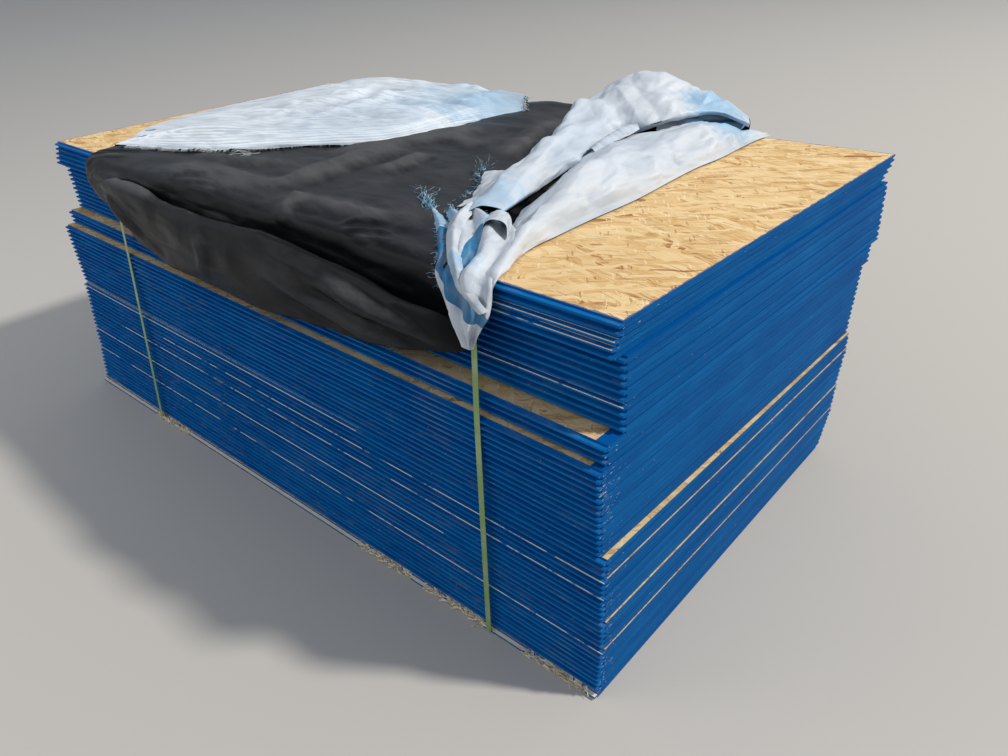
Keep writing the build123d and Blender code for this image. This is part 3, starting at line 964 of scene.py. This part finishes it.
def buildFlap():
    grid = netSurface(flap["rows"], *flap["fineness"], flap["bias"])
    seed = flap["seed"]
    along, across = gridShares(grid)
    across = across ** flap["bias"]
    # pleats run the long way in the near third and draw together at the knots; the waves are one minus
    # the size of a sine, with finer ones on top
    spread = 0.3 + 0.7 * clamp(along / 0.2)
    place = across / (flap["pleatBand"] * spread)
    wander = latticeNoise(grid * (3.0, 5.0, 5.0), seed) * 0.55
    wander += latticeNoise(grid * (9.0, 16.0, 16.0), seed + 5) * 0.2
    wave = 1.0 - np.abs(np.sin(pi * (place * flap["pleats"] + wander)))
    finer = 1.0 - np.abs(np.sin(pi * (place * flap["pleats"] * 2.2 + wander * 1.9)))
    inBand = clamp((1.0 - place) / 0.12) * clamp((0.95 - along) / 0.3)
    strength = 0.65 + 0.5 * latticeNoise(grid * (3.0, 9.0, 9.0), seed + 6)
    lifted = (wave * 0.8 + finer * 0.28) * flap["pleatHeight"] * inBand * strength
    stretched = grid * (0.75, 1.8, 1.8)
    plain = clamp((place - 0.8) / 0.4, 0.08)
    broad = creases(stretched, *flap["broad"], seed + 1) * plain
    fine = crumple(stretched, *flap["fine"], seed + 2) * plain
    tiny = crumple(grid * (0.6, 1.0, 1.0), *flap["tiny"], seed + 3) * plain
    folds = foldLines(grid, flap["folds"])
    edge = clamp((1.0 - across) / 0.15) * clamp((along - 0.04) / 0.3, 0.1)
    amount = lifted + (broad + fine + tiny + folds - 0.002) * edge
    # tone paints the pleats and folds: painted shade in their valleys
    tone = (wave * 3.2 + finer * 1.4 - 1.7) * inBand * strength
    tone = np.clip(tone + ((folds + fine + tiny) * 55.0 - 0.1) * (1.0 - inBand), -1.0, 1.0)
    return addSheet("coverFlapCloth", grid, amount, flapCloth, tone, printedShapes(grid, flap["knots"]))


flapSheet, flapArea, flapGrid = buildFlap()
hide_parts("cover_flap")
print("flap done")

# the bunched end: an upper lobe like a hood and a lower one like a pillow
bunch = {
    "fineness": (230, 105),
    # size and height of the creases
    "broad": (0.22, 0.018),
    "facets": (0.13, 0.009),
    "tiny": (0.055, 0.0008),
}
hood = {
    "seed": 57,
    "crumple": 1.0,
    "rows": [
        [(690, -470, 948), (700, -440, 975), (716, -400, 992),
         (735, -378, 990), (756, -362, 980), (750, -372, 968)],
        [(628, -300, 948), (640, -262, 1000), (656, -222, 1020), (690, -205, 1008), (716, -195, 984),
         (700, -200, 962)],
        [(590, -140, 948), (603, -105, 1010), (621, -70, 1040),
         (660, -60, 1022), (682, -60, 988), (665, -60, 964)],
        [(500, 70, 948), (515, 120, 1020), (537, 156, 1060),
         (600, 130, 1040), (650, 100, 998), (630, 110, 968)],
        [(430, 260, 948), (450, 310, 1040), (480, 345, 1084),
         (560, 300, 1062), (628, 232, 1004), (606, 250, 972)],
        [(400, 430, 948), (440, 450, 1060), (505, 440, 1108),
         (590, 380, 1080), (645, 290, 1012), (628, 318, 982)],
        [(470, 590, 948), (520, 560, 1060), (592, 495, 1112),
         (660, 420, 1080), (702, 321, 1024), (692, 350, 1008)],
        [(610, 625, 948), (650, 600, 1040), (690, 545, 1077),
         (715, 480, 1060), (738, 413, 1034), (730, 440, 1018)],
        [(735, 635, 948), (755, 615, 1010), (770, 585, 1038),
         (778, 545, 1040), (788, 503, 1027), (782, 522, 1012)],
        [(820, 640, 946), (830, 625, 975), (834, 605, 994),
         (840, 592, 994), (852, 575, 986), (847, 580, 974)],
    ],
    "folds": (
        (0.013, 0.05, [(513, 390, 1105), (541, 366, 1087), (586, 340, 1064), (650, 310, 1031),
                       (685, 298, 1015)]),
        (0.010, 0.035, [(547, 285, 1071), (597, 251, 1048), (627, 246, 1020)]),
        (0.008, 0.03, [(627, 246, 1020), (609, 292, 1041)]),
        (0.011, 0.04, [(644, 404, 1088), (687, 390, 1064), (718, 401, 1047)]),
        (0.012, 0.035, [(560, 130, 1056), (599, 70, 1054), (640, -43, 1038), (673, -152, 1012),
                        (722, -290, 1001)]),
        (-0.010, 0.03, [(594, 164, 1048), (642, 36, 1027), (673, -76, 1013), (699, -174, 997)]),
        (0.010, 0.035, [(470, 300, 1080), (520, 200, 1062), (560, 100, 1050)]),
        (0.009, 0.03, [(690, 500, 1075), (740, 520, 1050), (790, 560, 1030)]),
    ),
}
pillow = {
    "seed": 66,
    "crumple": 0.75,
    "rows": [
        [(906, -600, 925), (915, -604, 930), (925, -606, 932), (935, -606, 930), (944, -602, 922)],
        [(880, -560, 949), (898, -556, 958), (915, -556, 962), (935, -566, 958), (948, -584, 946)],
        [(830, -450, 950), (868, -440, 968), (882, -440, 974), (892, -446, 966), (899, -451, 944)],
        [(760, -320, 950), (825, -315, 980), (858, -320, 990), (880, -330, 978), (893, -339, 944)],
        [(700, -170, 950), (775, -190, 990), (830, -200, 1004), (872, -205, 985), (892, -208, 944)],
        [(660, -40, 950), (720, -60, 992), (800, -60, 1010), (868, -56, 988), (896, -52, 944)],
        [(620, 90, 950), (668, 70, 990), (760, 90, 1015), (850, 105, 990), (886, 108, 944)],
        [(600, 210, 950), (655, 195, 990), (750, 220, 1016), (845, 235, 990), (880, 236, 944)],
        [(640, 330, 950), (700, 300, 996), (770, 330, 1016), (845, 350, 990), (886, 352, 944)],
        [(680, 470, 950), (750, 425, 1008), (800, 450, 1008), (850, 460, 982), (882, 460, 944)],
        [(760, 570, 950), (800, 540, 976), (830, 545, 976), (860, 550, 964), (880, 552, 944)],
        [(860, 640, 946), (872, 625, 952), (880, 625, 953), (886, 632, 950), (888, 650, 944)],
    ],
    "folds": (
        (0.011, 0.03, [(803, -20, 1014), (845, -61, 1002), (870, -111, 992), (885, -120, 965)]),
        (0.009, 0.024, [(860, -220, 1000), (879, -224, 991), (891, -220, 969)]),
        (0.011, 0.028, [(830, 95, 1010), (857, 82, 994), (877, 63, 976), (886, 60, 950)]),
        (0.010, 0.03, [(833, -263, 1006), (837, -321, 983), (884, -434, 975), (922, -538, 964)]),
        (0.011, 0.03, [(791, 395, 1022), (845, 359, 995), (879, 358, 952)]),
        (0.008, 0.025, [(847, 450, 996), (880, 476, 950)]),
        (0.010, 0.045, [(726, 163, 1016), (772, 9, 1018), (808, -130, 1008), (856, -275, 1001)]),
        (-0.008, 0.025, [(800, 200, 1015), (850, 190, 995), (880, 180, 955)]),
    ),
}


def buildLobe(name, own):
    grid = netSurface(own["rows"], *bunch["fineness"])
    # folds along the lobe, with facets where they cross
    folded = crumple(grid * (1.5, 0.5, 1.5), *bunch["broad"], own["seed"])
    facets = crumple(grid * (1.3, 0.75, 1.3), *bunch["facets"], own["seed"] + 1)
    tiny = crumple(grid, *bunch["tiny"], own["seed"] + 2)
    along, across = gridShares(grid)
    fade = clamp(np.minimum(along, 1.0 - along) / 0.06, 0.2) * clamp((1.0 - across) / 0.08, 0.05)
    folds = foldLines(grid, own["folds"])
    amount = ((folded + facets + tiny) * own["crumple"] + folds) * fade
    # tone paints the folds: painted shade in their valleys
    tone = np.clip((folded + facets + folds) / 0.021, -0.8, 1.0)
    return addSheet(name, grid, amount, bunchCloth, tone)


upperLobe, upperArea, _ = buildLobe("coverHoodCloth", hood)
lowerLobe, lowerArea, _ = buildLobe("coverPillowCloth", pillow)
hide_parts("cover_bunched_end")
print("bunched end done")

# its twisted tip, over the edge and down to a point
trail = {
    "rows": [
        [(548, -389, 950), (600, -388, 958), (655, -395, 972), (720, -395, 984), (775, -385, 975)],
        [(632, -450, 951), (680, -445, 962), (735, -440, 975), (800, -430, 982), (870, -440, 972)],
        [(765, -568, 950), (800, -555, 962), (840, -540, 966), (885, -540, 966), (925, -545, 958)],
        [(792, -604, 925), (825, -612, 935), (865, -616, 942), (910, -612, 946), (945, -596, 942)],
        [(832, -620, 880), (858, -632, 885), (888, -636, 893), (926, -630, 902), (954, -614, 906)],
        [(856, -626, 849), (873, -640, 852), (900, -646, 860), (930, -640, 870), (953, -626, 878)],
        [(886, -632, 820), (894, -640, 822), (906, -644, 826), (918, -638, 833), (932, -630, 846)],
        [(901, -634, 801), (904, -636, 802), (907, -637, 803), (910, -636, 804), (914, -632, 806)],
    ],
    "fineness": (180, 100),
    "seed": 83,
    # how many long folds and how high, and the facets' size and height
    "folds": 3.2,
    "foldHeight": 0.007,
    "facets": (0.07, 0.0045),
    "stripes": (
        (0.021, [(693, -486, 957), (745, -545, 957), (795, -594, 955), (813, -608, 950), (839, -622, 929)]),
        (0.017, [(839, -622, 929), (876, -634, 908), (922, -642, 885), (965, -642, 866)]),
        (0.013, [(785, -463, 972), (827, -531, 966), (864, -593, 960)]),
    ),
}


def buildTrail():
    grid = netSurface(trail["rows"], *trail["fineness"])
    along, across = gridShares(grid)
    # long folds run down to the tip
    wander = latticeNoise(grid * 9.0, trail["seed"]) * 0.12
    folds = np.sin(2.0 * pi * (across * trail["folds"] + wander + along * 0.25)) * trail["foldHeight"]
    facets = crumple(grid, *trail["facets"], trail["seed"] + 1)
    fade = clamp(np.minimum(across, 1.0 - across) / 0.1, 0.1) * clamp((1.0 - along) / 0.1)
    printed = printedShapes(grid, trail["stripes"])
    # the facets' depth is the tone: painted shade in their hollows
    return addSheet("coverTrailCloth", grid, (folds + facets) * fade, trailCloth, facets / 0.007, printed)


trailSheet, trailArea, trailGrid = buildTrail()
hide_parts("cover_trailing_end")
print("trailing end done")

# small pieces of the cover: a folded ear, a ribbon-like fold, a rolled loop and a torn corner
scraps = {
    "coverEarCloth": {
        "rows": [
            [(652, 84, 1000), (668, 76, 1005), (684, 70, 998)],
            [(646, 160, 1012), (670, 150, 1022), (694, 138, 1010)],
            [(650, 225, 1022), (682, 210, 1034), (708, 194, 1020)],
            [(664, 264, 1024), (690, 250, 1036), (706, 238, 1024)],
        ],
        "material": bunchCloth, "fineness": (60, 24), "crumple": 0.003, "seed": 5,
    },
    "coverRibbonCloth": {
        "rows": [
            [(664, -382, 978), (684, -384, 994), (700, -372, 980)],
            [(692, -460, 973), (712, -452, 989), (728, -444, 975)],
            [(756, -534, 964), (772, -526, 979), (787, -518, 964)],
            [(830, -602, 953), (846, -600, 968), (858, -590, 956)],
            [(862, -620, 926), (880, -626, 938), (894, -614, 934)],
            [(910, -635, 904), (926, -640, 912), (939, -630, 913)],
            [(938, -634, 888), (950, -637, 893), (958, -628, 896)],
        ],
        "material": trailCloth, "fineness": (90, 20), "crumple": 0.002, "seed": 6,
    },
    "coverLoopCloth": {
        "rows": [
            [(790, -474, 968), (770, -446, 968), (748, -416, 966)],
            [(804, -464, 992), (784, -436, 992), (760, -404, 988)],
            [(828, -456, 1000), (806, -428, 1001), (782, -396, 996)],
            [(854, -458, 993), (834, -430, 994), (810, -398, 990)],
            [(868, -470, 972), (850, -442, 974), (828, -410, 972)],
        ],
        "material": bunchCloth, "fineness": (60, 40), "crumple": 0.003, "seed": 7,
    },
    "coverInnerCloth": {
        "rows": [
            [(690, 345, 985), (680, 362, 1006), (668, 384, 1020)],
            [(728, 428, 990), (720, 448, 1008), (710, 468, 1022)],
            [(774, 506, 990), (768, 528, 1004), (760, 548, 1016)],
            [(832, 568, 968), (836, 584, 978), (838, 592, 984)],
        ],
        "stripes": ((0.014, [(765, 495, 996), (800, 545, 990), (840, 585, 978)]),),
        "material": bunchCloth, "fineness": (70, 24), "crumple": 0.005, "seed": 9,
    },
    "coverCornerCloth": {
        "rows": [
            [(433, -83, 951), (470, -78, 957), (525, -72, 966)],
            [(452, -120, 952), (502, -118, 962), (575, -112, 984)],
            [(489, -156, 952), (535, -165, 966), (605, -165, 996)],
            [(526, -212, 952), (566, -212, 968), (634, -205, 996)],
            [(556, -268, 951), (592, -262, 964), (654, -255, 990)],
            [(583, -345, 951), (612, -335, 960), (668, -325, 977)],
        ],
        "material": trailCloth, "fineness": (90, 40), "crumple": 0.003, "seed": 8,
    },
}


def buildScrap(name, own):
    # a small net with facets alone
    grid = netSurface(own["rows"], *own["fineness"])
    amount = crumple(grid, 0.05, own["crumple"], own["seed"])
    printed = printedShapes(grid, own.get("stripes", ()))
    # the facets' depth is the tone: painted shade in their hollows
    return addSheet(name, grid, amount, own["material"], amount / own["crumple"], printed)[0]


earPiece, ribbonPiece, loopPiece, innerPiece, cornerPiece = [buildScrap(*item) for item in scraps.items()]
print("small folds done")

# frayed edges: how many threads, how much their directions spread, where they point, how long they
# are, how far their ends sink or rise, their look and their seed
fray = {
    "flapFringe": (260, 0.3, (0.42, -0.9), (0.014, 0.036), (-0.006, -0.002), "straight", 101),
    "flapFringeFar": (50, 0.35, (0.42, -0.9), (0.005, 0.014), (-0.006, -0.002), "straight", 103),
    "flapLooseStrands": (9, 0.5, (0.15, -1.0), (0.07, 0.13), (-0.002, 0.002), "curly", 105),
    "flapEndFray": (120, 0.45, (1.0, -0.35), (0.01, 0.04), (-0.012, -0.002), "straight", 107),
    "trailTopFray": (90, 0.4, (-0.75, 0.65), (0.01, 0.035), (-0.008, 0.004), "straight", 111),
    "trailSideFray": (60, 0.4, (-1.0, 0.1), (0.006, 0.02), (-0.004, 0.004), "straight", 113),
    "trailTuft": (26, 0.13, (-0.82, 0.56), (0.05, 0.20), (0.0, 0.015), "tuft", 115),
    "cornerFray": (150, 0.5, (-0.85, -0.2), (0.008, 0.035), (-0.002, 0.008), "straight", 117),
    "cornerTuft": (26, 0.35, (-0.5, 0.8), (0.02, 0.08), (0.0, 0.03), "tuft", 119),
    "straight": {"bend": 0.25, "wave": 0.08, "arch": 0.08, "radius": 0.0008},
    "curly": {"bend": 0.5, "wave": 0.22, "arch": 0.25, "radius": 0.0008},
    "tuft": {"bend": 0.16, "wave": 0.07, "arch": 0.06, "radius": 0.0009},
    # stretches of the flap's near edge in x, and places off the nets
    "nearSpan": (-0.80, -0.40),
    "farSpan": (-0.40, -0.10),
    "looseLine": [(-345, -330, 952), (-330, -310, 952)],
    "cornerSide": [(433, -83, 953), (452, -120, 953), (489, -156, 953), (526, -212, 953),
                   (556, -268, 953), (583, -345, 953)],
}


def buildFray(name, edge, material):
    # random places along an edge, each with its own direction out of the cloth
    count, spread, outward, lengths, drop, look, seed = fray[name]
    rng = np.random.default_rng(seed)
    at = rng.uniform(0.0, len(edge) - 1.001, count)
    low = at.astype(int)
    roots = edge[low] + (edge[low + 1] - edge[low]) * (at - low)[:, None]
    turn = rng.normal(0.0, spread, count)
    outX, outY = np.array(outward) / np.linalg.norm(outward)
    aims = np.stack([outX * np.cos(turn) - outY * np.sin(turn), outX * np.sin(turn) + outY * np.cos(turn),
                     np.zeros(count)], axis=-1)
    lengths = rng.uniform(*lengths, count) * rng.uniform(0.5, 1.0, count)
    ends = roots[:, 2] + rng.uniform(*drop, count)
    return addThreads(name, roots, aims, lengths, ends, fray[look], seed + 1, material)


def stretchOf(edge, low, high):
    return edge[(edge[:, 0] > low) & (edge[:, 0] < high)]


flapEdge = flapGrid[:, 0]
trailTop = trailGrid[0]
cornerSide = placed(fray["cornerSide"])
flapFray = [
    buildFray("flapFringe", stretchOf(flapEdge, *fray["nearSpan"]), paleThread),
    buildFray("flapFringeFar", stretchOf(flapEdge, *fray["farSpan"]), paleThread),
    buildFray("flapLooseStrands", placed(fray["looseLine"]), paleThread),
    buildFray("flapEndFray", flapGrid[-1], paleThread),
]
trailFray = [
    buildFray("trailTopFray", trailTop, blueThread),
    buildFray("trailSideFray", trailGrid[:90, 0], blueThread),
    buildFray("trailTuft", trailTop[:12], blueThread),
    buildFray("cornerFray", cornerSide, darkThread),
    buildFray("cornerTuft", cornerSide[:2], darkThread),
]
print("frayed edges done")

# strands torn from the bottom panel where its tongue is crushed, in millimetres
crushed = {
    # start, length, how many
    "stretches": ((-785, 235, 190), (390, 225, 120), (668, 215, 120), (1003, 190, 110)),
    # the panel's middle and turn, and its front face
    "frame": (-19.6, -30.7, 1.15),
    "front": -608.0,
    # least and most: how far in, how high, and half their length, width and thickness
    "inward": (-7.0, 13.0),
    "heights": (1.8, 14.5),
    "halfSizes": ((5.0, 19.0), (0.7, 2.6), (0.2, 0.4)),
    # spread of their yaw and tilt, and the most that they roll
    "turns": (0.45, 0.12, 0.9),
    "taper": 0.35,
    "lowest": 0.6,
    "seed": 211,
    "grain": (60.0, 180.0, 180.0),
    "colors": [(0.3, (0.42, 0.31, 0.18, 1.0)), (0.45, (0.72, 0.60, 0.42, 1.0)),
               (0.6, (0.90, 0.82, 0.66, 1.0))],
}


def strandMaterial():
    material, shader = newMaterial("tornStrand")
    tone = noise(objectPlace(), crushed["grain"], 3.0, 0.6)
    feed(shader, Base_Color=ramp(tone, crushed["colors"]), Roughness=0.8)
    return material


def buildStrands():
    # thin flat slivers: a middle in the crushed stretch, a length mostly along the panel, six sides each
    rng = np.random.default_rng(crushed["seed"])
    stretches = crushed["stretches"]
    along = [start + length * rng.uniform(-0.03, 1.03, count) for start, length, count in stretches]
    x = np.concatenate(along)
    count = len(x)
    y = crushed["front"] + rng.uniform(*crushed["inward"], count)
    height = rng.uniform(*crushed["heights"], count)
    middleX, middleY, turn = crushed["frame"]
    turn = radians(turn)
    middles = np.stack([middleX + x * cos(turn) - y * sin(turn), middleY + x * sin(turn) + y * cos(turn),
                        height], axis=-1)
    yawSpread, tiltSpread, mostRoll = crushed["turns"]
    yaw = turn + rng.normal(0.0, yawSpread, count)
    tilt = rng.normal(0.0, tiltSpread, count)
    roll = rng.uniform(-mostRoll, mostRoll, count)
    half = np.stack([rng.uniform(*limits, count) for limits in crushed["halfSizes"]], axis=-1)
    first = np.stack([np.cos(yaw) * np.cos(tilt), np.sin(yaw) * np.cos(tilt), np.sin(tilt)], axis=-1)
    second = np.cross((0.0, 0.0, 1.0), first)
    second /= np.linalg.norm(second, axis=1, keepdims=True)
    third = np.cross(first, second)
    wide = second * np.cos(roll)[:, None] + third * np.sin(roll)[:, None]
    thin = np.cross(first, wide)
    signs = np.array([(i, j, k) for i in (-1, 1) for j in (-1, 1) for k in (-1, 1)], float)
    taper = np.where(signs[:, 0] > 0, crushed["taper"], 1.0)
    corners = middles[:, None, :] + first[:, None, :] * half[:, None, :1] * signs[None, :, :1]
    corners = corners + wide[:, None, :] * half[:, None, 1:2] * (signs[:, 1] * taper)[None, :, None]
    corners = corners + thin[:, None, :] * half[:, None, 2:] * signs[None, :, 2:]
    corners[..., 2] = np.maximum(corners[..., 2], crushed["lowest"])
    sides = np.array([(0, 1, 3, 2), (4, 6, 7, 5), (0, 4, 5, 1), (2, 3, 7, 6), (0, 2, 6, 4), (1, 5, 7, 3)])
    faces = (np.arange(count)[:, None, None] * 8 + sides[None]).reshape(-1, 4)
    made = addMesh("crushedStrands", corners / 1000.0, [faces], strandMaterial())
    made.data.polygons.foreach_set("use_smooth", np.zeros(len(faces), bool))
    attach(made, "root")


buildStrands()
print("crushed strands done")

liningArea / 1.75
flapArea / 1.1
upperArea / 1.2
lowerArea / 1.25
trailArea / 0.45


# floor, light and camera
def addFloor():
    material, shader = newMaterial("floorPale")
    feed(shader, Base_Color=light["floorColor"], Roughness=0.9)
    corners = np.array([(-1, -1, 0), (1, -1, 0), (1, 1, 0), (-1, 1, 0)]) * light["floorSize"]
    return addMesh("floor", corners, [[(0, 1, 2, 3)]], material)


floor = addFloor()


def addArea(name, place, size, power, color):
    lamp = bpy.data.lights.new(name, "AREA")
    lamp.shape = "DISK"
    lamp.size = size
    lamp.energy = power
    lamp.color = color
    made = bpy.data.objects.new(name, lamp)
    made.location = place
    made.rotation_euler = (Vector(light["aim"]) - Vector(place)).to_track_quat("-Z", "Y").to_euler()
    bpy.context.scene.collection.objects.link(made)


addArea("keyLight", light["sunPlace"], light["sunSize"], light["sunPower"], light["sunColor"])
addArea("fillLight", light["fillPlace"], light["fillSize"], light["fillPower"], light["fillColor"])
world = bpy.data.worlds.new("softSky")
bpy.context.scene.world = world
world.use_nodes = True
sky = world.node_tree.nodes["Background"]
sky.inputs[0].default_value = (*light["sky"], 1.0)
sky.inputs[1].default_value = light["skyStrength"]


def addCamera():
    yaw, pitch, roll = (radians(view[key]) for key in ("yaw", "pitch", "roll"))
    forward = Vector((-sin(yaw) * cos(pitch), cos(yaw) * cos(pitch), -sin(pitch)))
    right = forward.cross(Vector((0, 0, 1))).normalized()
    up = right.cross(forward)
    right, up = cos(roll) * right + sin(roll) * up, -sin(roll) * right + cos(roll) * up
    data = bpy.data.cameras.new("photoView")
    data.sensor_width = 36.0
    data.lens = view["lens"]
    data.clip_start = 0.05
    data.clip_end = 300.0
    made = bpy.data.objects.new("photoView", data)
    made.matrix_world = Matrix((right, up, -forward)).transposed().to_4x4()
    made.location = view["place"]
    bpy.context.scene.collection.objects.link(made)
    bpy.context.scene.camera = made


addCamera()
bpy.context.scene.view_settings.view_transform = "Standard"
print("stage done")
